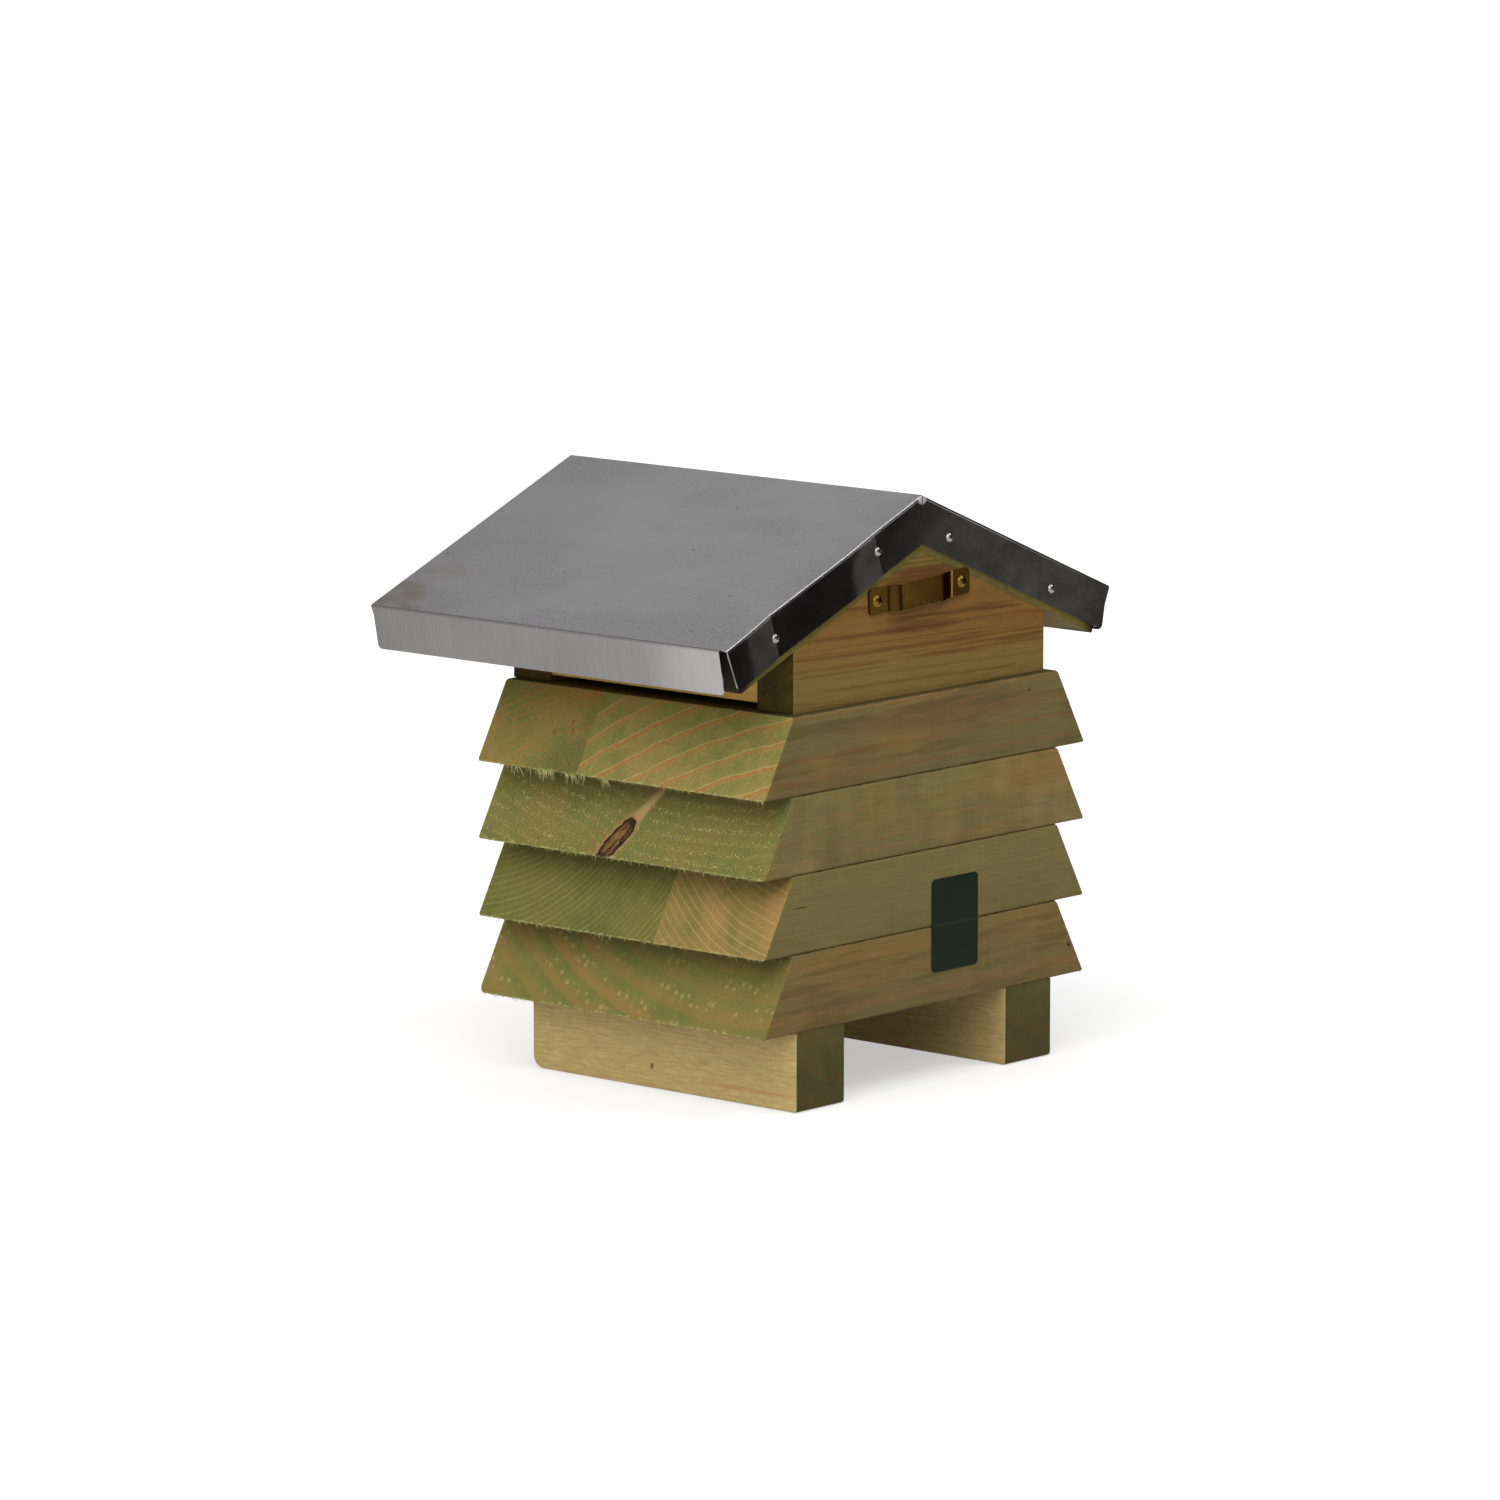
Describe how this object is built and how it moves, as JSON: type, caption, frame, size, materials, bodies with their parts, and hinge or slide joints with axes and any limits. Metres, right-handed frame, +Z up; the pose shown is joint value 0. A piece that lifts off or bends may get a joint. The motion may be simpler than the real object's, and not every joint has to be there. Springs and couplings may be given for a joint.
{
  "type": "bee hotel",
  "caption": "Hive-shaped bee hotel of bevelled timber tiers with drilled nesting holes, on feet, under a gabled head and a folded sheet-metal roof with a strap hanger.",
  "frame": {"origin": "on the floor, in the middle of the whole object's box", "axes": "+Z up, +Y to the back, where the hanger is and the wall would be, -Y to the front, where the nesting holes open, +X to the right seen from the front"},
  "size_m": [0.2266, 0.1854, 0.226],
  "materials": {
    "treated_pine": "pressure-treated softwood, green-tinted, sawn and planed, uncoated",
    "galvanised_sheet": "galvanised sheet, satin grey with a faint rolling grain",
    "bright_nail_steel": "bright round heads",
    "zinc_plated_steel": "zinc plated",
    "brass_plate": "dull brass plating",
    "green_sticker": "dark green printed film, satin, blank"
  },
  "bodies": {
    "root": {"tier_1_front_board": "treated_pine", "tier_1_back_board": "treated_pine", "tier_2_board": "treated_pine", "tier_3_front_board": "treated_pine", "tier_3_back_board": "treated_pine", "tier_4_board": "treated_pine", "left_foot": "treated_pine", "right_foot": "treated_pine", "left_roof_board": "treated_pine", "right_roof_board": "treated_pine", "left_side_board": "treated_pine", "right_side_board": "treated_pine", "front_gable": "treated_pine", "back_gable": "treated_pine", "roof_sheet": "galvanised_sheet", "hanger_strap": "brass_plate", "hanger_screws": "brass_plate", "blank_sticker": "green_sticker", "tier_screws": "zinc_plated_steel", "gable_screws": "zinc_plated_steel", "foot_screws": "zinc_plated_steel", "sheet_nails": "bright_nail_steel", "roof_board_nails": "zinc_plated_steel"}
  },
  "joints": []
}
